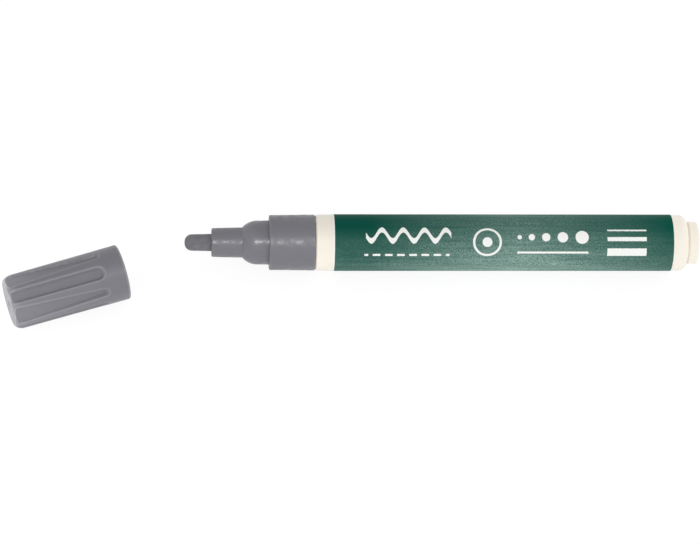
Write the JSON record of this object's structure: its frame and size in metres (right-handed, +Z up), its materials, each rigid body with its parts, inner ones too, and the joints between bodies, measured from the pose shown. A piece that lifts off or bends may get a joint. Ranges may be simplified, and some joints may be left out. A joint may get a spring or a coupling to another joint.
{
  "type": "liquid chalk marker",
  "caption": "Valve-type liquid chalk marker with a bullet nib, a printed label round its barrel, a sprung valve and a mixing ball inside, and its fluted cap lying beside it.",
  "frame": {"origin": "on the marker's axis, at the middle of the label", "axes": "+X along the marker's axis from the nib to the rear end, +Z up from the table it lies on; the cap lies off the nib, towards -X and -Y"},
  "size_m": [0.1833, 0.032, 0.015],
  "materials": {
    "cream_plastic": "satin moulded",
    "label_film": "printed film",
    "grey_plastic": "satin moulded",
    "nib_fibre": "pressed fibre",
    "valve_plastic": "natural moulded",
    "liner_plastic": "milky moulded",
    "spring_steel": "drawn wire",
    "ball_steel": "polished"
  },
  "bodies": {
    "marker": {"barrel": "cream_plastic", "label": "label_film", "end_plug": "cream_plastic", "front_section": "grey_plastic", "valve_seat": "valve_plastic", "valve_cage": "valve_plastic", "valve_spring": "spring_steel"},
    "pump": {"nib": "nib_fibre", "valve_stem": "valve_plastic"},
    "ball": {"mixing_ball": "ball_steel"},
    "cap": {"cap_shell": "grey_plastic", "inner_cap": "liner_plastic"}
  },
  "joints": [
    {"name": "cap_swing", "type": "hinge", "parent": "marker", "child": "cap", "pos_m": [-0.05328, -0.12463, -0.00006], "axis": [0.0051, 0.0008, -1], "range_deg": [0, 18.05]},
    {"name": "nib_press", "type": "slide", "parent": "marker", "child": "pump", "axis": [1, 0, 0], "range_m": [0, 0.002], "stiffness_N_per_m": 600, "springref_m": -0.004, "deforming": ["valve_spring"]},
    {"name": "ball_roll", "type": "slide", "parent": "marker", "child": "ball", "axis": [1, 0, 0], "range_m": [-0.04843, 0.0316]}
  ]
}
